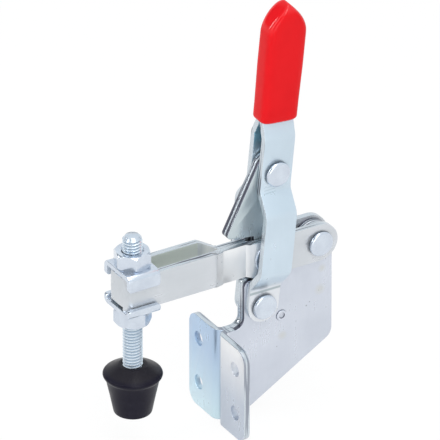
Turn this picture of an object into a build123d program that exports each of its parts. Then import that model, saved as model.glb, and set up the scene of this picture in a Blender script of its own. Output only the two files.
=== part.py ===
from build123d import *
from math import atan2, cos, degrees, radians, sin
import os

# Frame: +X points from the flange to the spindle, +Y to the near side, +Z up.
# The origin is the centre of the four flange holes, on the flange's mounting face.

# Base: two bent plates, back to back
base_sheet = 2.0
base_bend_inner_radius = 1.0
flange_half_width = 16.0
flange_top = 15.0
flange_bottom = -15.8
flange_corner_radius = 4.0
flange_hole_radius = 2.25
flange_hole_spacing_y = 21.0
flange_hole_spacing_z = 15.0
web_rear_margin = 5.4
web_rear_corner_z = 4.2
web_rear_corner_radius = 4.0
web_foot_depth = 5.2
web_front_setback = 8.3
web_front_corner_radius = 2.2
web_throat_radius = 3.0
web_top_above_pivot = 8.7
web_ear_slope = 4.0
locating_nub_radius = 1.7
locating_nub_height = 0.5
locating_nub_round = 0.3
locating_dimple_radius = 0.9
locating_nub_back = 7.3
locating_nub_drop = 6.3

# Pivot places
handle_pivot_x = -13.8
handle_pivot_z = 21.9
arm_pivot_back = 19.4
arm_pivot_rise = 15.9
arm_crank_length = 17.6
arm_crank_angle = 1.3
handle_crank_length = 44.2
handle_lean = 5.8

# Rivets
rivet_radius = 2.5
rivet_head_radius = 4.0
rivet_head_height = 1.5
rivet_head_round = 0.9
rivet_play = 0.05
side_play = 0.1
pivot_washer_radius = 5.0
pivot_washer_sheet = 0.8
pivot_washer_round = 0.3

# Arm: one strap bent round the spindle
arm_sheet = 2.0
arm_ear_radius = 6.1
arm_ear_front = 3.9
arm_ear_flare = 2.0
arm_neck_height = 11.0
arm_neck_half_gap = 0.05
arm_neck_length = 9.1
arm_jog_length = 4.8
arm_bar_length = 30.1
arm_bar_height = 11.2
arm_bar_rise = 1.9
arm_bar_half_gap = 3.4
arm_nose_bend_radius = 1.0
arm_step_bend_radius = 2.8
arm_lip_cut = 1.5

# Link: two flat plates side by side
link_sheet = 1.6
link_lower_radius = 3.8
link_upper_radius = 5.7
link_toe_forward = 11.6
link_toe_rise = 9.4
link_toe_radius = 1.2
link_knee_forward = 2.6
link_knee_rise = 10.3
link_knee_radius = 3.5

# Handle: two joggled plates, closed together inside the grip
handle_sheet = 2.0
handle_width = 10.5
handle_tab_length = 6.9
handle_joggle_length = 6.5
handle_bulge_clearance = 0.7
handle_straddle_below_pivot = 5.8
handle_straddle_above_pivot = 11.3
handle_closing_length = 4.8
handle_end_gap = 2.3
handle_bend_radius = 3.0
handle_closed_half_gap = 0.03

# Grip
grip_length = 38.7
grip_wall_side = 1.5
grip_wall_face = 1.4
grip_arch_height = 9.6
grip_edge_round = 2.5
grip_fit = 0.03
grip_start_above_closing = 0.4

# Spindle, nuts and washers
spindle_radius = 3.0
spindle_top_above_nut = 4.9
spindle_chamfer = 0.9
spindle_bar_clearance = 0.5
nut_across_flats = 10.0
nut_height = 5.0
nut_chamfer_height = 0.75
nut_bore_chamfer = 0.5
nut_play = 0.05
top_nut_turn = 12.5
bottom_nut_turn = 40.0
washer_sheet = 1.6
washer_side_clearance = 0.3
washer_hole_clearance = 0.25
washer_bend_radius = 0.3
top_washer_length = 10.8
top_washer_leg = 3.4
bottom_washer_length = 11.0
bottom_washer_leg = 1.4
washer_corner_round = 1.0

# Rubber tip
tip_height = 13.4
tip_foot_radius = 5.9
tip_rim_radius = 9.0
tip_band_height = 3.2
tip_rim_round = 1.0
tip_foot_round = 0.6
tip_socket_depth = 8.5
tip_below_washer = 22.3

# Places worked out from the sizes above
lean = radians(handle_lean)
handle_pivot = (handle_pivot_x, handle_pivot_z)
arm_pivot = (handle_pivot_x - arm_pivot_back, handle_pivot_z + arm_pivot_rise)
crank_angle = radians(arm_crank_angle)
lower_link_pivot = (
    arm_pivot[0] + arm_crank_length * cos(crank_angle),
    arm_pivot[1] + arm_crank_length * sin(crank_angle),
)
upper_link_pivot = (
    handle_pivot_x - handle_crank_length * sin(lean),
    handle_pivot_z + handle_crank_length * cos(lean),
)
link_half = link_sheet
straddle_half_gap = max(base_sheet, link_half) + side_play
arm_ear_outer = straddle_half_gap + arm_sheet
handle_tab_outer = straddle_half_gap + handle_sheet
bar_outer = arm_bar_half_gap + arm_sheet
neck_middle_z = arm_pivot[1]
bar_bottom = neck_middle_z + arm_bar_rise - arm_bar_height / 2
bar_top = bar_bottom + arm_bar_height
ear_front_x = lower_link_pivot[0] + arm_ear_front
neck_rear_x = ear_front_x + arm_ear_flare
neck_front_x = neck_rear_x + arm_neck_length
bar_rear_x = neck_front_x + arm_jog_length
bar_nose_x = bar_rear_x + arm_bar_length
arm_step_inside = arm_step_bend_radius - arm_sheet
washer_outer_y = arm_ear_outer + rivet_play + pivot_washer_sheet
handle_bulge_half_gap = washer_outer_y + rivet_play + rivet_head_height + handle_bulge_clearance
spindle_x = bar_nose_x - arm_sheet - spindle_bar_clearance - spindle_radius
top_nut_bottom = bar_top + washer_sheet
bottom_nut_bottom = bar_bottom - washer_sheet - nut_height
spindle_top = top_nut_bottom + nut_height + spindle_top_above_nut
tip_top = bar_bottom - washer_sheet - tip_below_washer
tip_bottom = tip_top - tip_height
spindle_bottom = tip_top - tip_socket_depth

# Levels along the handle, from its pivot: the tab, out to the bulge, back in, the straddle, the closing
handle_stations = [0, handle_tab_length, handle_tab_length + handle_joggle_length]
handle_stations.append(handle_crank_length - handle_straddle_below_pivot - handle_joggle_length)
handle_stations.append(handle_crank_length - handle_straddle_below_pivot)
handle_stations.append(handle_crank_length + handle_straddle_above_pivot)
handle_stations.append(handle_stations[-1] + handle_closing_length)
grip_start = handle_stations[-1] + grip_start_above_closing
grip_end = grip_start + grip_length
handle_plate_end = grip_end - handle_end_gap
handle_place = Pos(handle_pivot[0], 0, handle_pivot[1]) * Rot(0, -handle_lean, 0)


def side_plane(y):
    """A drawing plane facing +Y at the given y, with its own axes along +X and +Z."""
    return Plane(origin=(0, y, 0), x_dir=(1, 0, 0), z_dir=(0, -1, 0))


def across(sketch, low_y, high_y):
    """A side-view sketch made solid between two values of y."""
    return extrude(side_plane(high_y) * sketch, high_y - low_y)


def disc(centre, radius):
    return Pos(centre[0], centre[1]) * Circle(radius)


def convex(*discs):
    """The outline that a belt drawn tight round the given discs would have."""
    edges = ShapeList()
    for one in discs:
        edges += one.edges()
    return make_hull(edges)


def pin_hole(centre, radius, reach):
    return across(disc(centre, radius), -reach, reach)


def strip(points, radii, sheet, side):
    """A bent strip's section: the line through the points, thickened to one side."""
    line = FilletPolyline(*points, radius=radii)
    return make_face(offset(line, amount=sheet, side=side).edges())


def web_outline():
    rear_x = arm_pivot[0] - web_rear_margin
    front_x = -web_front_setback
    top_z = handle_pivot_z + web_top_above_pivot
    ear = disc(arm_pivot, web_rear_margin)
    shoulder = (arm_pivot[0] + web_rear_margin, arm_pivot[1])
    outline = Polygon(
        (0, flange_bottom),
        (0, flange_top),
        (front_x, flange_top),
        (front_x, top_z),
        (shoulder[0] + web_ear_slope, top_z),
        shoulder,
        (rear_x, arm_pivot[1]),
        (rear_x, web_rear_corner_z),
        (-web_foot_depth, flange_bottom),
        align=None,
    )

    def corner(x, z):
        return outline.vertices().sort_by_distance((x, z, 0))[0]

    outline = fillet(corner(front_x, flange_top), web_throat_radius)
    outline = fillet(corner(front_x, top_z), web_front_corner_radius)
    outline = fillet(corner(rear_x, web_rear_corner_z), web_rear_corner_radius)
    outline = fillet(corner(shoulder[0] + web_ear_slope, top_z), web_throat_radius)
    return outline + ear


def base_plate(side):
    """One base plate; side is +1 for the near one and -1 for the far one."""
    rear_x = arm_pivot[0] - web_rear_margin
    bend = base_bend_inner_radius + base_sheet
    section = strip(
        [(rear_x, 0), (0, 0), (0, flange_half_width)],
        bend,
        base_sheet,
        Side.LEFT,
    )
    tall = Pos(0, 0, flange_bottom) * extrude(section, arm_pivot[1] + web_rear_margin - flange_bottom)
    plate = tall & across(web_outline(), 0, flange_half_width)
    tip_edges = plate.edges().filter_by(Axis.X).group_by(Axis.Y)[-1]
    plate = fillet(tip_edges, flange_corner_radius)
    for row in (-1, 1):
        place = Pos(0, flange_hole_spacing_y / 2, row * flange_hole_spacing_z / 2)
        plate -= place * Rot(0, 90, 0) * Cylinder(flange_hole_radius, 3 * base_sheet)
    nub_x = handle_pivot_x - locating_nub_back
    nub_z = handle_pivot_z - locating_nub_drop
    nub_top = base_sheet + locating_nub_height
    nub = across(disc((nub_x, nub_z), locating_nub_radius), base_sheet, nub_top)
    nub = fillet(nub.faces().sort_by(Axis.Y)[-1].edges(), locating_nub_round)
    plate += nub - across(disc((nub_x, nub_z), locating_dimple_radius), base_sheet, nub_top)
    for pivot in (handle_pivot, arm_pivot):
        plate -= pin_hole(pivot, rivet_radius + rivet_play, 2 * base_sheet)
    return plate if side > 0 else mirror(plate, Plane.XZ)


def rivet(pivot, inner_y, outer_y):
    """A headed rivet; with inner_y above zero it is two headed halves, one on each side."""
    head_top = outer_y + rivet_head_height
    head = across(disc(pivot, rivet_head_radius), outer_y, head_top)
    rim = head.faces().sort_by(Axis.Y)[-1].edges()
    near = fillet(rim, rivet_head_round) + across(disc(pivot, rivet_radius), inner_y, outer_y)
    far = mirror(near, Plane.XZ)
    if inner_y > 0:
        return Compound([near, far])
    return near + far


def pivot_washer(side):
    """A round washer between the arm's ear and the lower link rivet's head."""
    washer_inner_y = washer_outer_y - pivot_washer_sheet
    washer = across(disc(lower_link_pivot, pivot_washer_radius), washer_inner_y, washer_outer_y)
    washer = fillet(washer.faces().sort_by(Axis.Y)[-1].edges(), pivot_washer_round)
    washer -= pin_hole(lower_link_pivot, rivet_radius + rivet_play, 2 * washer_outer_y)
    return washer if side > 0 else mirror(washer, Plane.XZ)


def arm_side_outline():
    ear_bottom = arm_pivot[1] - arm_ear_radius
    ear_top = arm_pivot[1] + arm_ear_radius
    neck_bottom = neck_middle_z - arm_neck_height / 2
    neck_top = neck_bottom + arm_neck_height
    low = [
        (arm_pivot[0], ear_bottom),
        (ear_front_x, ear_bottom),
        (neck_rear_x, neck_bottom),
        (neck_front_x, neck_bottom),
        (bar_rear_x, bar_bottom),
        (bar_nose_x, bar_bottom),
    ]
    high = [
        (bar_nose_x, bar_top),
        (bar_rear_x, bar_top),
        (neck_front_x, neck_top),
        (neck_rear_x, neck_top),
        (ear_front_x, ear_top),
        (arm_pivot[0], ear_top),
    ]
    return Polygon(*low, *high, align=None) + disc(arm_pivot, arm_ear_radius)


def arm_strap():
    rear_x = arm_pivot[0] - arm_ear_radius
    nose_inner_x = bar_nose_x - arm_sheet
    near = [
        (rear_x, straddle_half_gap),
        (ear_front_x, straddle_half_gap),
        (neck_rear_x, arm_neck_half_gap),
        (neck_front_x, arm_neck_half_gap),
        (bar_rear_x, arm_bar_half_gap),
        (nose_inner_x, arm_bar_half_gap),
        (nose_inner_x, 0),
    ]
    step_radii = [arm_step_bend_radius, arm_step_inside, arm_step_inside, arm_step_bend_radius]
    radii = step_radii + [arm_nose_bend_radius]
    near_section = strip(near, radii, arm_sheet, Side.LEFT)
    section = near_section + mirror(near_section, Plane.XZ)
    tall = Pos(0, 0, bar_bottom - arm_ear_radius) * extrude(section, 2 * arm_ear_radius + arm_bar_height)
    strap = tall & across(arm_side_outline(), -bar_outer, bar_outer)
    lip = Pos(nose_inner_x, 0, bar_bottom) * Box(
        2 * arm_sheet, 2 * arm_bar_half_gap, 2 * arm_lip_cut, align=(Align.MIN, Align.CENTER, Align.CENTER)
    )
    strap -= lip
    for pivot in (arm_pivot, lower_link_pivot):
        strap -= pin_hole(pivot, rivet_radius + rivet_play, 2 * arm_ear_outer)
    return strap


def link_plate(side):
    toe = (lower_link_pivot[0] + link_toe_forward, lower_link_pivot[1] + link_toe_rise)
    knee = (lower_link_pivot[0] + link_knee_forward, lower_link_pivot[1] + link_knee_rise)
    upper = disc(upper_link_pivot, link_upper_radius)
    lower = disc(lower_link_pivot, link_lower_radius)
    outline = convex(upper, lower) + convex(upper, disc(toe, link_toe_radius), disc(knee, link_knee_radius))
    plate = across(outline, 0, link_sheet)
    for pivot in (upper_link_pivot, lower_link_pivot):
        plate -= pin_hole(pivot, rivet_radius + rivet_play, 2 * link_sheet)
    return plate if side > 0 else mirror(plate, Plane.XZ)


def handle_plate(side):
    half = handle_width / 2
    gaps = [
        straddle_half_gap,
        straddle_half_gap,
        handle_bulge_half_gap,
        handle_bulge_half_gap,
        straddle_half_gap,
        straddle_half_gap,
        handle_closed_half_gap,
    ]
    levels = [-half] + handle_stations[1:] + [handle_plate_end]
    points = [(gap, level) for gap, level in zip(gaps + [handle_closed_half_gap], levels)]
    inside = handle_bend_radius
    outside = handle_bend_radius + handle_sheet
    radii = [outside, inside, inside, outside, inside, outside]
    section = strip(points, radii, handle_sheet, Side.RIGHT)
    end_plane = Plane(origin=(-half, 0, 0), x_dir=(0, 1, 0), z_dir=(1, 0, 0))
    solid = extrude(end_plane * section, handle_width)
    tab = disc((0, 0), half)
    crown = disc((0, handle_plate_end - half), half)
    solid &= across(convex(tab, crown), 0, handle_bulge_half_gap + 2 * handle_sheet)
    for level in (0, handle_crank_length):
        solid -= pin_hole((0, level), rivet_radius + rivet_play, 3 * handle_tab_outer)
    plate = handle_place * solid
    return plate if side > 0 else mirror(plate, Plane.XZ)


def grip():
    half_width = handle_width / 2 + grip_wall_side
    thickness = 2 * (handle_closed_half_gap + handle_sheet + grip_wall_face)
    shoulder = grip_end - grip_arch_height
    arch = Pos(0, shoulder) * Ellipse(half_width, grip_arch_height)
    sleeve = Pos(0, (grip_start + shoulder) / 2) * Rectangle(2 * half_width, shoulder - grip_start)
    solid = across(sleeve + arch, -thickness / 2, thickness / 2)
    rims = solid.faces().filter_by(Axis.Y).edges()
    solid = fillet(rims, grip_edge_round)
    cavity_half = handle_width / 2 + grip_fit
    crown = disc((0, handle_plate_end - handle_width / 2), cavity_half)
    mouth = disc((0, grip_start - cavity_half), cavity_half)
    cavity_y = handle_closed_half_gap + handle_sheet + grip_fit
    solid -= across(convex(mouth, crown), -cavity_y, cavity_y)
    return handle_place * solid


def hex_nut(bottom_z, turn):
    """A chamfered nut on the spindle; turn is where its first corner points, in degrees from +X."""
    corner_radius = nut_across_flats / 2 / cos(radians(30))
    nut = extrude(RegularPolygon(corner_radius, 6, rotation=turn), nut_height)
    guard = Cylinder(corner_radius, nut_height, align=(Align.CENTER, Align.CENTER, Align.MIN))
    rims = guard.edges().filter_by(GeomType.CIRCLE)
    guard = chamfer(rims, nut_chamfer_height, corner_radius - nut_across_flats / 2)
    nut &= guard
    nut -= Cylinder(spindle_radius + nut_play, 3 * nut_height)
    bore = nut.edges().filter_by(GeomType.CIRCLE).sort_by(SortBy.RADIUS)[:2]
    nut = chamfer(bore, nut_bore_chamfer)
    return Pos(spindle_x, 0, bottom_z) * nut


def channel_washer(length, leg, turned_up):
    """A flat washer with two legs bent over the bar's sides; its plate's inner face is at z = 0."""
    half = bar_outer + washer_side_clearance
    section = strip(
        [(-half, -leg), (-half, 0), (half, 0), (half, -leg)], washer_bend_radius, washer_sheet, Side.LEFT
    )
    plane = Plane(origin=(-length / 2, 0, 0), x_dir=(0, 1, 0), z_dir=(1, 0, 0))
    washer = extrude(plane * section, length)
    leg_tips = washer.edges().filter_by(Axis.Y).group_by(Axis.Z)[0]
    washer = fillet(leg_tips, washer_corner_round)
    washer -= Cylinder(spindle_radius + washer_hole_clearance, 6 * washer_sheet)
    return Rot(180, 0, 0) * washer if turned_up else washer


def tip(bottom_z):
    cone_top = tip_height - tip_band_height
    profile = Polygon(
        (0, 0),
        (tip_foot_radius, 0),
        (tip_rim_radius, cone_top),
        (tip_rim_radius, tip_height),
        (0, tip_height),
        align=None,
    )
    solid = revolve(Plane.XZ * profile, Axis.Z)
    rim = solid.edges().filter_by(GeomType.CIRCLE)
    solid = fillet(rim.group_by(Axis.Z)[-1], tip_rim_round)
    foot = solid.edges().filter_by(GeomType.CIRCLE).group_by(Axis.Z)[0]
    solid = fillet(foot, tip_foot_round)
    socket = Cylinder(spindle_radius + nut_play, tip_socket_depth, align=(Align.CENTER, Align.CENTER, Align.MAX))
    solid -= Pos(0, 0, tip_height) * socket
    return Pos(spindle_x, 0, bottom_z) * solid


def spindle(bottom_z, top_z):
    rod = Cylinder(spindle_radius, top_z - bottom_z, align=(Align.CENTER, Align.CENTER, Align.MIN))
    rod = chamfer(rod.edges().filter_by(GeomType.CIRCLE), spindle_chamfer)
    return Pos(spindle_x, 0, bottom_z) * rod


nodes = {
    "near_base_plate": base_plate(1),
    "far_base_plate": base_plate(-1),
    "handle_pivot_rivet": rivet(handle_pivot, 0, handle_tab_outer + rivet_play),
    "arm_pivot_rivet": rivet(arm_pivot, 0, arm_ear_outer + rivet_play),
    "clamp_arm": arm_strap(),
    "near_pivot_washer": pivot_washer(1),
    "far_pivot_washer": pivot_washer(-1),
    "lower_link_rivet": rivet(lower_link_pivot, 0, washer_outer_y + rivet_play),
    "near_link_plate": link_plate(1),
    "far_link_plate": link_plate(-1),
    "upper_link_rivet": rivet(upper_link_pivot, straddle_half_gap, handle_tab_outer + rivet_play),
    "near_handle_plate": handle_plate(1),
    "far_handle_plate": handle_plate(-1),
    "handle_grip": grip(),
    "top_washer": Pos(spindle_x, 0, bar_top) * channel_washer(top_washer_length, top_washer_leg, False),
    "bottom_washer": Pos(spindle_x, 0, bar_bottom) * channel_washer(bottom_washer_length, bottom_washer_leg, True),
    "top_nut": hex_nut(top_nut_bottom, top_nut_turn),
    "bottom_nut": hex_nut(bottom_nut_bottom, bottom_nut_turn),
    "spindle": spindle(spindle_bottom, spindle_top),
    "rubber_tip": tip(tip_bottom),
}

os.makedirs("parts", exist_ok=True)
for name, shape in nodes.items():
    export_step(shape, f"parts/{name}.step")
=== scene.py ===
import math

import bmesh
import bpy
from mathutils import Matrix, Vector


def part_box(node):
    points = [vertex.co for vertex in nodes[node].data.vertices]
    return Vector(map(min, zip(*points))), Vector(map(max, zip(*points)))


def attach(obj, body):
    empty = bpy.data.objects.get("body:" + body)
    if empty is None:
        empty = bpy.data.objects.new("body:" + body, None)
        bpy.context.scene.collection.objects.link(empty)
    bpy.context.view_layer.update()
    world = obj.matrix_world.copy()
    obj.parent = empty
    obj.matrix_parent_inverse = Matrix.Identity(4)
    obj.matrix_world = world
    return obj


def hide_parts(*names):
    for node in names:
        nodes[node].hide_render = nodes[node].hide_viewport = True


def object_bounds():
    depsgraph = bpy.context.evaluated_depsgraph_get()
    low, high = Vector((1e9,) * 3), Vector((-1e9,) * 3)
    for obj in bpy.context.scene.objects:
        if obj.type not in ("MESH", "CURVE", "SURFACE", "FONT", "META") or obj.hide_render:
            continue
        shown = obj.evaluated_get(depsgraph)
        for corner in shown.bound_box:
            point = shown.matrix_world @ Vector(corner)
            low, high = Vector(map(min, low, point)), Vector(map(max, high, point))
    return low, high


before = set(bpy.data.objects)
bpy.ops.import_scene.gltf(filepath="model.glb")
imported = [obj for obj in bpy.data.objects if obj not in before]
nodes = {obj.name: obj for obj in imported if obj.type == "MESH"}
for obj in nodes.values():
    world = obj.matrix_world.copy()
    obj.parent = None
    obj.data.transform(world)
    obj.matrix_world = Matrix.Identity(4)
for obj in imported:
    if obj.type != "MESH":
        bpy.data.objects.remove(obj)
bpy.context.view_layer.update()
print("frame loaded:", len(nodes), "nodes")


# Shader maths as Python expressions

sightRays = ("Is Camera Ray", "Is Glossy Ray", "Is Transmission Ray")
bumpDepth = 0.0001


class Sock:
    def __init__(self, mat, out):
        self.mat = mat
        self.out = out

    def join(self, operation, other):
        return self.mat.node("ShaderNodeMath", {"operation": operation}, {0: self, 1: other})

    def __add__(self, other): return self.join("ADD", other)
    def __sub__(self, other): return self.join("SUBTRACT", other)
    def __mul__(self, other): return self.join("MULTIPLY", other)
    def __gt__(self, other): return self.join("GREATER_THAN", other)
    def __lt__(self, other): return self.join("LESS_THAN", other)


class Mat:
    def __init__(self, name, owner=None):
        self.owner = owner or bpy.data.materials.new(name)
        self.owner.use_nodes = True
        self.tree = self.owner.node_tree
        self.tree.nodes.clear()

    def node(self, kind, settings=None, values=None, output=0):
        made = self.tree.nodes.new(kind)
        for key, value in (settings or {}).items():
            if key == "stops":
                ramp = made.color_ramp.elements
                while len(ramp) < len(value):
                    ramp.new(0.5)
                for element, (place, tone) in zip(ramp, value):
                    element.position = place
                    element.color = tone if len(tone) == 4 else (*tone, 1)
            else:
                setattr(made, key, value)
        for key, value in (values or {}).items():
            if isinstance(value, Sock):
                self.tree.links.new(value.out, made.inputs[key])
            else:
                made.inputs[key].default_value = value
        return Sock(self, made.outputs[output])

    def noise(self, scale, detail=2.0, stretch=(1, 1, 1), roughness=0.5):
        place = self.node("ShaderNodeTexCoord", output="Object")
        place = self.node("ShaderNodeMapping", values={"Vector": place, "Scale": stretch})
        return self.node(
            "ShaderNodeTexNoise", None,
            {"Vector": place, "Scale": scale, "Detail": detail, "Roughness": roughness}, "Fac")

    def along(self, axis):
        place = self.node("ShaderNodeTexCoord", output="Object")
        return self.node("ShaderNodeSeparateXYZ", None, {"Vector": place}, axis)

    # the distance that two offsets make at right angles
    def reach(self, across, up):
        place = self.node("ShaderNodeCombineXYZ", None, {"X": across, "Y": up})
        return self.node("ShaderNodeVectorMath", {"operation": "LENGTH"}, {0: place}, "Value")

    # 1 inside a round spot, fading to 0 at its edge; the spot is seen along Y
    def spot(self, x, z, radius, fade):
        reach = self.reach(self.along("X") - x, self.along("Z") - z)
        return self.spread(reach, radius - fade, radius, 1, 0)

    # share at one height, fading to 0 half a line away
    def line(self, height, half, share):
        off = self.along("Z") - height
        return self.spread(off * off, 0, half ** 2, share, 0)

    # 1 where any ray but a diffuse one looks, which is what a viewer sees of the room
    def seen(self):
        path = self.tree.nodes.new("ShaderNodeLightPath")
        looks = [Sock(self, path.outputs[kind]) for kind in sightRays]
        return looks[0] + looks[1] + looks[2]

    def ramp(self, value, stops):
        return self.node("ShaderNodeValToRGB", {"stops": stops}, {"Fac": value}, "Color")

    def spread(self, value, low, high, toLow, toHigh):
        return self.node(
            "ShaderNodeMapRange", {"clamp": True},
            {"Value": value, "From Min": low, "From Max": high, "To Min": toLow, "To Max": toHigh})

    def tint(self, factor, first, second):
        return self.node(
            "ShaderNodeMix", {"data_type": "RGBA"},
            {"Factor": factor, 6: first, 7: second}, 2)

    def bump(self, height, strength, distance):
        return self.node(
            "ShaderNodeBump", None,
            {"Height": height, "Strength": strength, "Distance": distance}, "Normal")

    def finish(self, values):
        shader = self.node("ShaderNodeBsdfPrincipled", None, values, "BSDF")
        out = self.tree.nodes.new("ShaderNodeOutputMaterial")
        self.tree.links.new(shader.out, out.inputs["Surface"])
        return self.owner


# Zinc plate: pale and grey clouds under a fine rolled grain
baseZinc = {
    "paleTone": (0.69, 0.73, 0.81, 1),
    "greyTone": (0.61, 0.65, 0.73, 1),
    "cloudScale": 60.0,
    "cloudDetail": 3,
    "cloudBand": (0.35, 0.7),
    "grainScale": 900.0,
    "grainDetail": 4,
    "grainRoughness": 0.6,
    "grainBand": (0.45, 0.75),
    "grainShare": 0.3,
    "grainStretch": (1.0, 1.0, 0.15),
    "roughBand": (0.35, 0.65),
    "rough": (0.26, 0.36),
    "metallic": 0.62,
    "grainBump": 0.04,
}

# The link's zinc is painted darker and tealer than the base's: painted shade, where the link sits between
# the handle plates
linkZincInShade = {
    **baseZinc,
    "paleTone": (0.62, 0.70, 0.73, 1),
    "greyTone": (0.52, 0.60, 0.63, 1),
}

# Painted shade and painted reflection on the flanges, then marks on the base, in metres: dull stains, then
# dark pits, each with its x, its z and its radius
baseMarksAndShade = {
    # painted reflection: the far flange is painted bluer, darker at the top and paler at its foot
    "farFlangeReflectionTone": (0.50, 0.65, 0.84, 1),
    "farFlangeFootReflectionTone": (0.67, 0.85, 0.93, 1),
    "farFlangeReflectionRise": (-0.014, 0.006),
    "flangeBand": (-0.0035, -0.0010),
    # painted shade: the flanges are painted lighter at the top and darker at the foot
    "nearFlangeLitTone": (1.0, 1.0, 1.0, 1),
    "nearFlangeShadedFootTone": (0.54, 0.60, 0.69, 1),
    "nearFlangeShadeRise": (-0.003, 0.014),
    "nearFlangeShadeShare": 0.8,
    "fade": 0.8,
    "marks": [
        {
            "tone": (0.62, 0.63, 0.60, 1),
            "share": 0.6,
            "places": [(-0.0345, 0.0205, 0.0022), (-0.0352, 0.0275, 0.0016), (-0.0215, 0.0085, 0.0019)],
        },
        {
            "tone": (0.20, 0.21, 0.24, 1),
            "share": 0.8,
            "places": [
                (-0.0298, 0.0162, 0.00035), (-0.0309, 0.0172, 0.00028), (-0.0196, 0.0052, 0.00025)],
        },
    ],
}

armZinc = {
    **baseZinc,
    "paleTone": (0.70, 0.73, 0.77, 1),
    "greyTone": (0.62, 0.655, 0.69, 1),
    "grainStretch": (0.15, 1.0, 1.0),
    "metallic": 0.5,
}

handleZinc = {
    **baseZinc,
    "paleTone": (0.66, 0.775, 0.87, 1),
    "greyTone": (0.60, 0.71, 0.80, 1),
}

hardwareZinc = {
    **baseZinc,
    "paleTone": (0.69, 0.755, 0.84, 1),
    "greyTone": (0.60, 0.66, 0.75, 1),
    "cloudScale": 220.0,
    "grainScale": 1400.0,
    "grainStretch": (1.0, 1.0, 1.0),
    "rough": (0.16, 0.26),
    "metallic": 0.8,
    "grainBump": 0.01,
}

# The sides of the rivet heads are painted dark: painted shade round each head, where it meets the plate
headSideShadeZinc = {
    **hardwareZinc,
    "paleTone": (0.13, 0.15, 0.18, 1),
    "greyTone": (0.08, 0.095, 0.12, 1),
}

# Where the press sheared a sheet: darker, with fine lines that follow the edge
cutZinc = {
    "paleTone": (0.62, 0.68, 0.73, 1),
    "greyTone": (0.10, 0.105, 0.14, 1),
    "lineScale": 1100.0,
    "lineDetail": 2,
    "darkBand": (0.62, 0.70),
    "darkPull": 0.3,
    "roughBand": (0.35, 0.65),
    "rough": (0.22, 0.34),
    "metallic": 0.8,
    "lineBump": 0.12,
    "webStretch": (0.04, 1.0, 0.04),
    "flangeStretch": (1.0, 0.04, 0.04),
}

flangeCutZinc = {**cutZinc, "greyTone": (0.32, 0.35, 0.41, 1)}


def zincFinish(name, look, marks=None):
    mat = Mat(name)
    cloud = mat.noise(look["cloudScale"], look["cloudDetail"])
    grain = mat.noise(look["grainScale"], look["grainDetail"], look["grainStretch"], look["grainRoughness"])
    shade = mat.spread(cloud, *look["cloudBand"], 0, 1)
    colour = mat.tint(shade, look["paleTone"], look["greyTone"])
    streak = mat.spread(grain, *look["grainBand"], 0, look["grainShare"])
    colour = mat.tint(streak, colour, look["greyTone"])
    if marks:
        colour = marks(mat, colour)
    rough = mat.spread(grain * 0.5 + cloud * 0.5, *look["roughBand"], *look["rough"])
    normal = mat.bump(grain, look["grainBump"], bumpDepth)
    return mat.finish({
        "Base Color": colour, "Roughness": rough, "Metallic": look["metallic"], "Normal": normal})


def paintBaseMarksAndShade(mat, colour):
    look = baseMarksAndShade
    farSide = mat.along("Y") < 0
    onFlange = mat.spread(mat.along("X"), *look["flangeBand"], 0, 1)
    # painted shade on both flanges, then painted reflection on the far flange; the stains and pits below
    # are real marks
    nearFlangeShadeRise = mat.spread(mat.along("Z"), *look["nearFlangeShadeRise"], 0, 1)
    nearFlangeLitTone = mat.tint(nearFlangeShadeRise, look["nearFlangeShadedFootTone"], look["nearFlangeLitTone"])
    colour = mat.tint(onFlange * look["nearFlangeShadeShare"], colour, nearFlangeLitTone)
    farFlangeReflectionRise = mat.spread(mat.along("Z"), *look["farFlangeReflectionRise"], 0, 1)
    farFlangeReflectionTone = mat.tint(farFlangeReflectionRise, look["farFlangeFootReflectionTone"], look["farFlangeReflectionTone"])
    colour = mat.tint(onFlange * farSide, colour, farFlangeReflectionTone)
    for kind in look["marks"]:
        for x, z, radius in kind["places"]:
            mark = mat.spot(x, z, radius, radius * look["fade"]) * kind["share"]
            colour = mat.tint(mark, colour, kind["tone"])
    return colour


# The handle's foot is as grey as the base it turns on, with a painted shadow line above it, under the
# bulge's lower bend.
# The far plate is painted dark teal inside, where it closes: painted shade between the handle plates. The
# press left fine lines under the rivet.
handleMarksAndShade = {
    "footTone": (0.80, 0.83, 0.87, 1),
    "creaseShadowTone": (0.32, 0.40, 0.43, 1),
    "creaseShadowShare": 0.8,
    "creaseShadowHeight": 0.0271,
    "creaseShadowHalf": 0.0006,
    "footTop": 0.0275,
    "footFade": 0.003,
    "tealShadeTone": (0.24, 0.47, 0.58, 1),
    "tealShadeLow": 0.0705,
    "tealShadeHigh": 0.0800,
    "tealShadeFade": 0.005,
    "tealShadeFromY": -0.0052,
    "pressTone": (0.42, 0.54, 0.61, 1),
    "pressShare": 0.7,
    "pressLines": (0.0604, 0.0612, 0.0621),
    "pressHalf": 0.00014,
    "pressFrom": -0.0176,
    "pressTo": -0.0138,
}


# The arm's loop is tinted greener inside, and its neck is painted paler: painted light where the handle
# shades it
armTintAndPaintedLight = {
    "insideReach": 0.0037,
    "insideFrom": 0.0045,
    "insideTo": 0.0330,
    "insideTone": (0.70, 0.745, 0.71, 1),
    "neckFrom": -0.0100,
    "neckTo": 0.0035,
    "neckFade": 0.0015,
    "neckPaintedLightTone": (0.94, 0.95, 0.96, 1),
}


def paintArmTintAndLight(mat, colour):
    look = armTintAndPaintedLight
    inside = mat.along("Y") * mat.along("Y") < look["insideReach"] ** 2
    inside = inside * (mat.along("X") > look["insideFrom"]) * (mat.along("X") < look["insideTo"])
    # painted light on the arm's neck
    rise = mat.spread(mat.along("X"), look["neckFrom"], look["neckFrom"] + look["neckFade"], 0, 1)
    fall = mat.spread(mat.along("X"), look["neckTo"] - look["neckFade"], look["neckTo"], 1, 0)
    colour = mat.tint(rise * fall, colour, look["neckPaintedLightTone"])
    return mat.tint(inside, colour, look["insideTone"])


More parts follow.
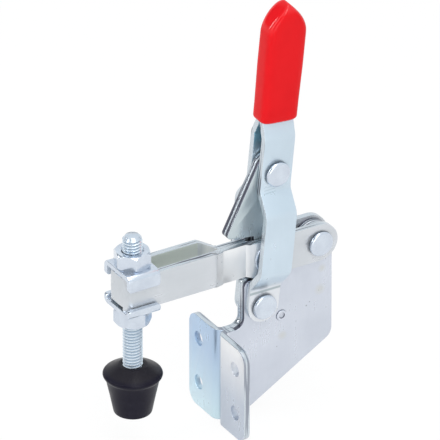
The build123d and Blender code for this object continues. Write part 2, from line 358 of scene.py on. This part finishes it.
def tabMarksAndShadow(mat, colour):
    look = handleMarksAndShade
    foot = mat.spread(mat.along("Z"), look["footTop"], look["footTop"] + look["footFade"], 1, 0)
    colour = mat.tint(foot, colour, look["footTone"])
    # painted shadow: a dark line under the bulge's lower bend
    creaseShadow = mat.line(look["creaseShadowHeight"], look["creaseShadowHalf"], look["creaseShadowShare"])
    colour = mat.tint(creaseShadow, colour, look["creaseShadowTone"])
    within = (mat.along("X") > look["pressFrom"]) * (mat.along("X") < look["pressTo"])
    for height in look["pressLines"]:
        press = mat.line(height, look["pressHalf"], look["pressShare"])
        colour = mat.tint(press * within, colour, look["pressTone"])
    return colour


def farHandleShadeAndMarks(mat, colour):
    look = handleMarksAndShade
    # painted shade: the far plate's inner face is painted dark teal between these heights
    rise = mat.spread(mat.along("Z"), look["tealShadeLow"], look["tealShadeLow"] + look["tealShadeFade"], 0, 1)
    fall = mat.spread(mat.along("Z"), look["tealShadeHigh"], look["tealShadeHigh"] + look["tealShadeFade"], 1, 0)
    inside = mat.along("Y") > look["tealShadeFromY"]
    return tabMarksAndShadow(mat, mat.tint(rise * fall * inside, colour, look["tealShadeTone"]))


# darkShare draws the dark lines closer; a seam paints a highlight: a pale strip of that half width, midway
# through, where the two link plates' rounded edges meet
def cutFinish(name, look, stretch, darkShare, seamHighlight=0.0):
    mat = Mat(name)
    lines = mat.noise(look["lineScale"], look["lineDetail"], stretch)
    darkBand = [edge - look["darkPull"] * darkShare for edge in look["darkBand"]]
    dark = mat.spread(lines, *darkBand, 0, 1)
    # painted highlight along the middle of the edge
    if seamHighlight:
        dark = dark * mat.spread(mat.along("Y") * mat.along("Y"), (0.5 * seamHighlight) ** 2, seamHighlight ** 2, 0, 1)
    colour = mat.tint(dark, look["paleTone"], look["greyTone"])
    return mat.finish({
        "Base Color": colour, "Roughness": mat.spread(lines, *look["roughBand"], *look["rough"]),
        "Metallic": look["metallic"], "Normal": mat.bump(lines, look["lineBump"], bumpDepth)})


gripVinyl = {
    "tone": (0.89, 0.012, 0.017, 1),
    "deepTone": (0.80, 0.009, 0.014, 1),
    "cloudScale": 120,
    "cloudDetail": 3,
    "cloudBand": (0.4, 0.75),
    "cloudShare": 0.6,
    "roughBand": (0.35, 0.7),
    "rough": (0.05, 0.09),
    "rippleScale": 90,
    "rippleDetail": 1,
    "rippleStretch": (1, 1, 0.5),
    "rippleBump": 0.15,
    "rippleDepth": 0.0004,
    "sheen": 0.08,
    "coat": 0.8,
    "coatFrom": 0.1122,
    "coatTo": 0.1146,
    "coatReach": 0.0036,
    "coatFade": 0.0006,
    "coatRough": 0.06,
}


def gripFinish():
    look = gripVinyl
    mat = Mat("dipped red vinyl")
    cloud = mat.noise(look["cloudScale"], look["cloudDetail"])
    ripple = mat.noise(look["rippleScale"], look["rippleDetail"], look["rippleStretch"])
    shade = mat.spread(cloud, *look["cloudBand"], 0, look["cloudShare"])
    out = mat.node("ShaderNodeMath", {"operation": "ABSOLUTE"}, {0: mat.along("Y")})
    coat = mat.spread(out, look["coatReach"] - look["coatFade"], look["coatReach"], 1, 0)
    coat = coat * mat.spread(mat.along("Z"), look["coatFrom"], look["coatTo"], 0, look["coat"])
    return mat.finish({
        "Base Color": mat.tint(shade, look["tone"], look["deepTone"]),
        "Roughness": mat.spread(cloud, *look["roughBand"], *look["rough"]),
        "Normal": mat.bump(ripple, look["rippleBump"], look["rippleDepth"]),
        "Coat Weight": coat, "Coat Roughness": look["coatRough"],
        "Specular IOR Level": look["sheen"]})


# The spindle's thread, in metres: crest and root are the widths of its flats
spindleThread = {
    "pitch": 0.001,
    "depth": 0.00056,
    "crest": 0.000125,
    "root": 0.00022,
    "turnSteps": 48,
    "runIn": 1.5,
    "endChamfer": 0.0009,
    "sharpAngle": 50,
}

# painted shade and painted highlight: the thread is painted darker at its roots and paler at its crests
threadLook = {
    "rootShadeTone": (0.49, 0.58, 0.67, 1),
    "crestHighlightTone": (0.84, 0.92, 0.99, 1),
    "endTone": (0.60, 0.68, 0.77, 1),
    "rootShare": 0.83,
    "crestShare": 0.98,
    "endShare": 1.15,
    "metallic": 0.7,
    "rough": 0.24,
}


def threadFinish():
    look = threadLook
    mat = Mat("zinc plated thread")
    low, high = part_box("spindle")
    radius = (high.x - low.x) / 2
    reach = mat.reach(mat.along("X") - (high.x + low.x) / 2, mat.along("Y") - (high.y + low.y) / 2)
    crest = mat.spread(reach, radius * look["rootShare"], radius * look["crestShare"], 0, 1)
    end = mat.along("Z") > high.z - spindleThread["endChamfer"] * look["endShare"]
    # painted shade in the roots, painted highlight on the crests
    colour = mat.tint(crest, look["rootShadeTone"], look["crestHighlightTone"])
    return mat.finish({
        "Base Color": mat.tint(end, colour, look["endTone"]),
        "Roughness": look["rough"], "Metallic": look["metallic"]})


rubberLook = {
    "tone": (0.0095, 0.0085, 0.0190, 1),
    "paleTone": (0.016, 0.015, 0.0265, 1),
    # painted highlight: the tip's top cone is painted paler than its body
    "coneHighlightTone": (0.019, 0.0175, 0.024, 1),
    "coneFrom": 0.0136,
    "coneTo": 0.0142,
    "cloudScale": 260,
    "cloudDetail": 4,
    "cloudBand": (0.45, 0.75),
    "roughBand": (0.3, 0.7),
    "rough": (0.3, 0.42),
    "fleckScale": 1600,
    "fleckDetail": 2,
    "fleckBump": 0.1,
    "sheen": 0.13,
}


def rubberFinish():
    look = rubberLook
    mat = Mat("black rubber")
    cloud = mat.noise(look["cloudScale"], look["cloudDetail"])
    fleck = mat.noise(look["fleckScale"], look["fleckDetail"])
    colour = mat.tint(mat.spread(cloud, *look["cloudBand"], 0, 1), look["tone"], look["paleTone"])
    rise = mat.along("Z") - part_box("rubber_tip")[0].z
    # painted highlight on the top cone
    coneHighlight = mat.spread(rise, look["coneFrom"], look["coneTo"], 0, 1)
    return mat.finish({
        "Base Color": mat.tint(coneHighlight, colour, look["coneHighlightTone"]),
        "Roughness": mat.spread(cloud, *look["roughBand"], *look["rough"]),
        "Normal": mat.bump(fleck, look["fleckBump"], bumpDepth),
        "Specular IOR Level": look["sheen"]})


baseMaterial = zincFinish("zinc plated base", baseZinc, paintBaseMarksAndShade)
linkMaterial = zincFinish("zinc plated link", linkZincInShade)
armMaterial = zincFinish("zinc plated arm", armZinc, paintArmTintAndLight)
nearHandleMaterial = zincFinish("zinc plated near handle", handleZinc, tabMarksAndShadow)
farHandleMaterial = zincFinish("zinc plated far handle", handleZinc, farHandleShadeAndMarks)
webCutMaterial = cutFinish("sheared edge of a web", cutZinc, cutZinc["webStretch"], darkShare=0.6)
linkCutMaterial = cutFinish(
    "sheared edge of a link", cutZinc, cutZinc["webStretch"], darkShare=0.85, seamHighlight=0.0004)
handleCutMaterial = cutFinish(
    "sheared edge of a handle plate", cutZinc, cutZinc["webStretch"], darkShare=0.2)
flangeCutMaterial = cutFinish(
    "sheared edge of a flange", flangeCutZinc, cutZinc["flangeStretch"], darkShare=0.5)
hardwareMaterial = zincFinish("zinc plated hardware", hardwareZinc)
headSideShadeMaterial = zincFinish("painted shade on the side of a rivet head", headSideShadeZinc)
gripMaterial = gripFinish()
rubberMaterial = rubberFinish()
threadMaterial = threadFinish()
print("finishes made")


# Pieces

weld = {"coarse": 5e-6, "copy": 2e-6, "fine": 1e-6, "cut": 1e-7}
flatAngle = 0.6
edgeLook = {"sheetBevel": 0.00025, "hardwareBevel": 0.00018, "segments": 3, "angle": 35}


def newPiece(name, bm, material, body, standsFor, bevel=0.0, bevelAngle=edgeLook["angle"]):
    mesh = bpy.data.meshes.new(name)
    bm.to_mesh(mesh)
    bm.free()
    mesh.shade_smooth()
    piece = bpy.data.objects.new(name, mesh)
    bpy.context.scene.collection.objects.link(piece)
    mesh.materials.append(material)
    if bevel:
        edge = piece.modifiers.new("edge", "BEVEL")
        edge.width = bevel
        edge.segments = edgeLook["segments"]
        edge.limit_method = "ANGLE"
        edge.angle_limit = math.radians(bevelAngle)
        edge.harden_normals = True
        edge.miter_outer = "MITER_ARC"
    else:
        mesh.set_sharp_from_angle(angle=math.radians(bevelAngle))
    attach(piece, body)
    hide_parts(*standsFor)
    return piece


def cleanCopy(node):
    bm = bmesh.new()
    bm.from_mesh(nodes[node].data)
    bmesh.ops.remove_doubles(bm, verts=bm.verts, dist=weld["copy"])
    bmesh.ops.dissolve_limit(
        bm, angle_limit=math.radians(flatAngle), verts=bm.verts, edges=bm.edges, delimit={"NORMAL"})
    return bm


# Which faces of a bent sheet are its sheared edges: 0 is none, 1 a cut edge, 2 a flange's cut edge
cutSlack = 0.12
webCutShare = 0.25
flangeCutShare = 0.6
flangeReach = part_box("near_base_plate")[1].y
flangeHole = {"y": 0.0105, "z": 0.0075, "reach": 0.0027}
armPivotX = sum(corner.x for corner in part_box("arm_pivot_rivet")) / 2


def flatCut(centre, normal):
    return abs(normal.y) < cutSlack


def baseCut(centre, normal):
    if centre.x < -flangeReach * webCutShare:
        return flatCut(centre, normal)
    fromHoleY, fromHoleZ = abs(centre.y) - flangeHole["y"], abs(centre.z) - flangeHole["z"]
    if math.hypot(fromHoleY, fromHoleZ) < flangeHole["reach"]:
        return 0
    onTop = abs(normal.z) > 1 - cutSlack
    onRim = abs(centre.y) > flangeCutShare * flangeReach and abs(normal.x) < cutSlack
    return 2 * (onTop or onRim)


def armCut(centre, normal):
    return abs(normal.z) > cutSlack or centre.x < armPivotX and flatCut(centre, normal)


# each sheet's body, its material, its sheared edge's material, and which faces are sheared
sheetPieces = {
    "near_base_plate": ("base", baseMaterial, webCutMaterial, baseCut),
    "far_base_plate": ("base", baseMaterial, webCutMaterial, baseCut),
    "clamp_arm": ("arm", armMaterial, handleCutMaterial, armCut),
    "near_link_plate": ("link", linkMaterial, linkCutMaterial, flatCut),
    "far_link_plate": ("link", linkMaterial, linkCutMaterial, flatCut),
    "near_handle_plate": ("handle", nearHandleMaterial, handleCutMaterial, flatCut),
    "far_handle_plate": ("handle", farHandleMaterial, handleCutMaterial, flatCut),
}
hardwarePieces = {
    "handle_pivot_rivet": "base", "arm_pivot_rivet": "base", "lower_link_rivet": "arm",
    "near_pivot_washer": "arm", "far_pivot_washer": "arm",
    "upper_link_rivet": "handle", "top_washer": "arm", "bottom_washer": "arm",
    "top_nut": "arm", "bottom_nut": "arm",
}

# The strap's nose is bent rounder than the solid's: its two upright corners follow a wider arc
noseForm = {"radius": 0.0026, "cuts": 5, "reach": 3}


def roundNose(bm):
    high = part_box("clamp_arm")[1]
    radius = noseForm["radius"]
    # the strap's half width, read at the nose itself: its ears flare wider
    halfWidth = max(abs(v.co.y) for v in bm.verts if v.co.x > high.x - 2 * radius)
    centreX, centreY = high.x - radius, halfWidth - radius
    backX = centreX - noseForm["reach"] * radius
    for step in range(noseForm["cuts"]):
        share = step / noseForm["cuts"]
        planes = [((centreX + radius * share, 0, 0), (1, 0, 0))]
        planes += [((0, side * (centreY + radius * share), 0), (0, side, 0)) for side in (-1, 1)]
        for place, normal in planes:
            faces = [f for f in bm.faces if f.calc_center_median().x > backX
                     or max(v.co.x for v in f.verts) > centreX]
            verts = list({v for f in faces for v in f.verts})
            edges = list({e for f in faces for e in f.edges})
            bmesh.ops.bisect_plane(
                bm, geom=verts + edges + faces, plane_co=place, plane_no=normal, dist=weld["cut"])
    for vert in bm.verts:
        across, out = vert.co.x - centreX, abs(vert.co.y) - centreY
        reach = math.hypot(across, out)
        if across > weld["cut"] and out > weld["cut"] and reach > radius:
            vert.co.x = centreX + across * radius / reach
            vert.co.y = math.copysign(centreY + out * radius / reach, vert.co.y)


for node, (body, material, cutMaterial, isCut) in sheetPieces.items():
    bm = cleanCopy(node)
    if node == "clamp_arm":
        roundNose(bm)
    for face in bm.faces:
        face.material_index = int(isCut(face.calc_center_median(), face.normal))
    piece = newPiece(
        node + ".dressed", bm, material, body, [node], edgeLook["sheetBevel"])
    piece.data.materials.append(cutMaterial)
    piece.data.materials.append(flangeCutMaterial)
for node, body in hardwarePieces.items():
    bm = cleanCopy(node)
    for face in bm.faces:
        # painted shade: a rivet head's sides take the dark material
        onShadedHeadSide = node.endswith("rivet") and flatCut(face.calc_center_median(), face.normal)
        face.material_index = int(onShadedHeadSide)
    piece = newPiece(
        node + ".dressed", bm, hardwareMaterial, body, [node],
        edgeLook["hardwareBevel"])
    piece.data.materials.append(headSideShadeMaterial)
print("plates, rivets, nuts and washers dressed")


def threadedSpindle():
    low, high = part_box("spindle")
    look = spindleThread
    radius = (high.x - low.x) / 2
    axis = Vector(((high.x + low.x) / 2, (high.y + low.y) / 2, 0))
    pitch, root = look["pitch"], radius - look["depth"]
    flank = (pitch - look["crest"] - look["root"]) / 2
    bm = bmesh.new()
    start = low.z - look["runIn"] * pitch
    turns = int((high.z - low.z) / pitch) + int(2 * look["runIn"])
    heights = []
    for turn in range(turns):
        base = start + turn * pitch
        crest = base + look["root"] + flank
        heights += [
            (base, root), (base + look["root"], root), (crest, radius), (crest + look["crest"], radius)]
    heights.append((start + turns * pitch, root))
    line = [bm.verts.new((r, 0, z)) for z, r in heights]
    edges = [bm.edges.new(pair) for pair in zip(line, line[1:])]
    bmesh.ops.spin(
        bm, geom=line + edges, cent=(0, 0, 0), axis=(0, 0, 1), angle=math.tau,
        dvec=(0, 0, pitch / look["turnSteps"]), steps=look["turnSteps"], use_merge=False)
    bmesh.ops.remove_doubles(bm, verts=bm.verts, dist=weld["coarse"])
    for height, side in ((low.z, 1), (high.z, -1)):
        geom = bm.verts[:] + bm.edges[:] + bm.faces[:]
        bmesh.ops.bisect_plane(
            bm, geom=geom, plane_co=(0, 0, height), plane_no=(0, 0, side), clear_inner=True, dist=1e-8)
        rim = [e for e in bm.edges if e.is_boundary
               and all(abs(v.co.z - height) < weld["cut"] for v in e.verts)]
        bmesh.ops.contextual_create(bm, geom=rim)
    for vert in bm.verts:
        reach = min(vert.co.z - low.z, high.z - vert.co.z)
        allowed = radius - max(look["endChamfer"] - reach, 0)
        flat = math.hypot(vert.co.x, vert.co.y)
        if flat > allowed:
            vert.co.x *= allowed / flat
            vert.co.y *= allowed / flat
    bmesh.ops.recalc_face_normals(bm, faces=bm.faces)
    bmesh.ops.translate(bm, verts=bm.verts, vec=axis)
    newPiece(
        "spindle.threaded", bm, threadMaterial, "arm", ["spindle"],
        bevelAngle=look["sharpAngle"])


threadedSpindle()
print("spindle threaded")


# The tip is turned round the spindle: radius and height above its foot, in metres
tipForm = {
    "line": [
        (0.0, 0.0002), (0.0048, 0.0002), (0.0053, 0.0), (0.00575, 0.0003), (0.0059, 0.0009),
        (0.0069, 0.0060), (0.0079, 0.0106), (0.0083, 0.0117), (0.0088, 0.0123), (0.0090, 0.0129),
        (0.0088, 0.0134), (0.0083, 0.0137), (0.0062, 0.0149), (0.0043, 0.0161), (0.0035, 0.0163),
    ],
    "neckGap": 0.0001,
    "neckRound": 0.0002,
    "neckDrop": 0.004,
    "turnSteps": 96,
    "bevel": 0.0002,
    "bevelAngle": 14,
}


def turnedTip():
    low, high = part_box("rubber_tip")
    spindleLow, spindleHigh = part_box("spindle")
    neck = (spindleHigh.x - spindleLow.x) / 2 + tipForm["neckGap"]
    top = tipForm["line"][-1][1]
    line = tipForm["line"] + [(neck, top - tipForm["neckRound"]), (neck, top - tipForm["neckDrop"])]
    bm = bmesh.new()
    verts = [bm.verts.new((r, 0, z)) for r, z in line]
    edges = [bm.edges.new(pair) for pair in zip(verts, verts[1:])]
    bmesh.ops.spin(
        bm, geom=verts + edges, cent=(0, 0, 0), axis=(0, 0, 1), angle=math.tau,
        steps=tipForm["turnSteps"], use_merge=True)
    bmesh.ops.remove_doubles(bm, verts=bm.verts, dist=weld["fine"])
    bmesh.ops.contextual_create(bm, geom=[e for e in bm.edges if e.is_boundary])
    bmesh.ops.recalc_face_normals(bm, faces=bm.faces)
    bmesh.ops.translate(bm, verts=bm.verts, vec=((high.x + low.x) / 2, (high.y + low.y) / 2, low.z))
    newPiece(
        "rubber_tip.turned", bm, rubberMaterial, "arm", ["rubber_tip"],
        tipForm["bevel"], tipForm["bevelAngle"])


turnedTip()
print("rubber tip turned")


# The grip is drawn up ring by ring: a soft box section that comes to a pointed arch
gripForm = {
    "mouth": 0.0607,
    "length": 0.0386,
    "halfWidth": [
        (0.0, 0.00628), (0.006, 0.00630), (0.018, 0.0066), (0.028, 0.0066), (0.0386, 0.0065)],
    "halfDepth": 0.0039,
    "squareness": 4.4,
    "archHeight": 0.0100,
    "mouthRound": 0.0012,
    "ringSteps": 72,
    "mouthSteps": 5,
    "sideSteps": 12,
    "archSteps": 24,
    "apexShare": 0.02,
    "widthPower": 2,
    "depthPower": 6,
    "sharpAngle": 60,
}


def blendAlong(stops, place):
    for (a, low), (b, high) in zip(stops, stops[1:]):
        if place <= b:
            return low + (high - low) * (place - a) / (b - a)
    return stops[-1][1]


# place up the grip, inset of the section, share of its width and of its depth
def gripStations(look):
    length, arch, soft = look["length"], look["archHeight"], look["mouthRound"]
    stations = []
    for step in range(look["mouthSteps"]):
        turn = math.radians(90 * step / look["mouthSteps"])
        stations.append((soft * (1 - math.cos(turn)), soft * (1 - math.sin(turn)), 1, 1))
    for step in range(look["sideSteps"]):
        stations.append((soft + (length - arch - soft) * step / look["sideSteps"], 0, 1, 1))
    for step in range(look["archSteps"] + 1):
        turn = math.radians(90 * step / look["archSteps"])
        below = 1 - (1 - look["apexShare"]) * math.sin(turn)
        wide = 1 - (1 - below) ** look["widthPower"]
        deep = math.sqrt(1 - (1 - below) ** look["depthPower"])
        stations.append((length - arch * below, 0, wide, deep))
    return stations


def drawnGrip():
    look = gripForm
    foot = sum(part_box("handle_pivot_rivet"), Vector()) / 2
    pin = sum(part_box("upper_link_rivet"), Vector()) / 2
    up = (pin - foot).normalized()
    side = Vector((up.z, 0, -up.x))
    depth = Vector((0, 1, 0))
    power = 2 / look["squareness"]
    bm = bmesh.new()
    bmesh.ops.create_circle(bm, segments=look["ringSteps"], radius=1)
    turnLayer = bm.verts.layers.float.new("turn")
    for vert in bm.verts:
        vert[turnLayer] = math.atan2(vert.co.y, vert.co.x)
    ring, rim = bm.verts[:], bm.edges[:]
    mouthRim = rim
    for index, (place, inset, wide, deep) in enumerate(gripStations(look)):
        if index:
            made = bmesh.ops.extrude_edge_only(bm, edges=rim)["geom"]
            ring = [item for item in made if isinstance(item, bmesh.types.BMVert)]
            rim = [item for item in made if isinstance(item, bmesh.types.BMEdge)
                   and item.verts[0] in ring and item.verts[1] in ring]
        width = blendAlong(look["halfWidth"], place) * wide - inset
        reach = look["halfDepth"] * deep - inset
        for vert in ring:
            across, out = math.cos(vert[turnLayer]), math.sin(vert[turnLayer])
            vert.co = foot + up * (look["mouth"] + place)
            vert.co += side * math.copysign(width * abs(across) ** power, across)
            vert.co += depth * math.copysign(reach * abs(out) ** power, out)
    bmesh.ops.contextual_create(bm, geom=mouthRim)
    bmesh.ops.contextual_create(bm, geom=rim)
    bmesh.ops.recalc_face_normals(bm, faces=bm.faces)
    newPiece(
        "handle_grip.drawn", bm, gripMaterial, "handle", ["handle_grip"],
        bevelAngle=look["sharpAngle"])


drawnGrip()
print("grip drawn")


# Room, lights and camera

aimPoint = (0, 0, 0.05)

room = {
    "floorGap": 0.0002,
    "floorSize": 4.0,
    "shadowShare": 0.12,
    "whiteTone": (1, 1, 1, 1),
    "plainTone": (0.9, 0.9, 0.9, 1),
    "whiteStrength": 1.04,
    "worldStrength": 0.5,
    # the room's tone from the floor up to straight overhead
    "roomTones": [
        (0.0, (1, 1, 1)), (0.54, (1, 1, 1)), (0.6, (0.97, 0.99, 1)), (0.7, (0.88, 0.93, 0.96)),
        (0.85, (0.95, 0.98, 1)), (1.0, (1, 1, 1)),
    ],
    # dark cards: where each one stands, and the cosines at which it begins and is full
    "cards": [((0.74, 0.50, 0.45), 0.90, 0.965), ((0.64, -0.61, 0.46), 0.86, 0.94)],
    "cardTone": (0.05, 0.07, 0.09, 1),
}


def makeFloor():
    bm = bmesh.new()
    bmesh.ops.create_grid(bm, x_segments=1, y_segments=1, size=room["floorSize"])
    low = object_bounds()[0]
    bmesh.ops.translate(bm, verts=bm.verts, vec=(0, 0, low.z - room["floorGap"]))
    mesh = bpy.data.meshes.new("floor")
    bm.to_mesh(mesh)
    bm.free()
    floor = bpy.data.objects.new("floor", mesh)
    bpy.context.scene.collection.objects.link(floor)
    mat = Mat("floor white")
    white = mat.node(
        "ShaderNodeEmission", None, {"Color": room["whiteTone"], "Strength": room["whiteStrength"]})
    plain = mat.node("ShaderNodeBsdfDiffuse", None, {"Color": room["plainTone"]})
    factor = mat.spread(mat.seen(), 0, 1, 0, 1 - room["shadowShare"])
    mixed = mat.node("ShaderNodeMixShader", None, {0: factor, 1: plain, 2: white})
    out = mat.tree.nodes.new("ShaderNodeOutputMaterial")
    mat.tree.links.new(mixed.out, out.inputs["Surface"])
    mesh.materials.append(mat.owner)


def makeWorld():
    world = bpy.data.worlds.new("white room")
    bpy.context.scene.world = world
    mat = Mat("world", world)
    strength = mat.spread(mat.seen(), 0, 1, room["worldStrength"], 1.0)
    aim = mat.node("ShaderNodeTexCoord", output="Generated")
    height = mat.node("ShaderNodeSeparateXYZ", None, {"Vector": aim}, "Z") * 0.5 + 0.5
    tone = mat.ramp(height, room["roomTones"])
    for place, begins, full in room["cards"]:
        facing = mat.node("ShaderNodeVectorMath", {"operation": "DOT_PRODUCT"}, {0: aim, 1: place}, "Value")
        tone = mat.tint(mat.spread(facing, begins, full, 0, 1), tone, room["cardTone"])
    back = mat.node("ShaderNodeBackground", None, {"Color": tone, "Strength": strength})
    out = mat.tree.nodes.new("ShaderNodeOutputWorld")
    mat.tree.links.new(back.out, out.inputs["Surface"])


lights = {
    "key": {"from": (0.15, 0.55, 0.8), "size": (0.5, 0.5), "power": 2.6},
    "side": {"from": (0.3, 0.9, 0.15), "size": (0.6, 0.6), "power": 1.8},
    "top": {"from": (-0.05, 0.0, 0.9), "size": (0.3, 0.3), "power": 1.4},
    "stripBack": {"from": (0.72, -0.55, 0.42), "size": (0.1, 0.5), "power": 1.3},
    "stripFront": {"from": (0.84, 0.02, 0.5), "size": (0.1, 0.5), "power": 1.3},
}


def makeLights():
    aim = Vector(aimPoint)
    for name, look in lights.items():
        data = bpy.data.lights.new(name, "AREA")
        data.energy = look["power"]
        data.shape = "RECTANGLE"
        data.size, data.size_y = look["size"]
        lamp = bpy.data.objects.new(name, data)
        lamp.location = aim + Vector(look["from"])
        lamp.rotation_mode = "QUATERNION"
        lamp.rotation_quaternion = (aim - lamp.location).to_track_quat("-Z", "Y")
        bpy.context.scene.collection.objects.link(lamp)


camera = {
    "azimuth": 149.24,
    "elevation": 30.18,
    "distance": 5.0,
    "aimPixelX": 216.5,
    "aimPixelY": 230.0,
    "imagePixels": 440,
    "pixelsPerMetre": 3390.0,
    "sensor": 36.0,
    "clipEnd": 100,
}


def makeCamera():
    a, e = math.radians(camera["azimuth"]), math.radians(camera["elevation"])
    back = Vector((math.sin(a) * math.cos(e), -math.cos(a) * math.cos(e), math.sin(e)))
    turn = (-back).to_track_quat("-Z", "Y")
    right, up = turn @ Vector((1, 0, 0)), turn @ Vector((0, 1, 0))
    middle = camera["imagePixels"] / 2
    aim = Vector(aimPoint)
    aim += right * (middle - camera["aimPixelX"]) / camera["pixelsPerMetre"]
    aim += up * (camera["aimPixelY"] - middle) / camera["pixelsPerMetre"]
    data = bpy.data.cameras.new("camera")
    data.sensor_width = camera["sensor"]
    span = camera["imagePixels"] / camera["pixelsPerMetre"]
    data.lens = camera["sensor"] * camera["distance"] / span
    data.clip_end = camera["clipEnd"]
    eye = bpy.data.objects.new("camera", data)
    eye.location = aim + back * camera["distance"]
    eye.rotation_mode = "QUATERNION"
    eye.rotation_quaternion = turn
    bpy.context.scene.collection.objects.link(eye)
    bpy.context.scene.camera = eye


makeFloor()
makeWorld()
makeLights()
makeCamera()
bpy.context.scene.view_settings.view_transform = "Standard"
print("room, lights and camera set")
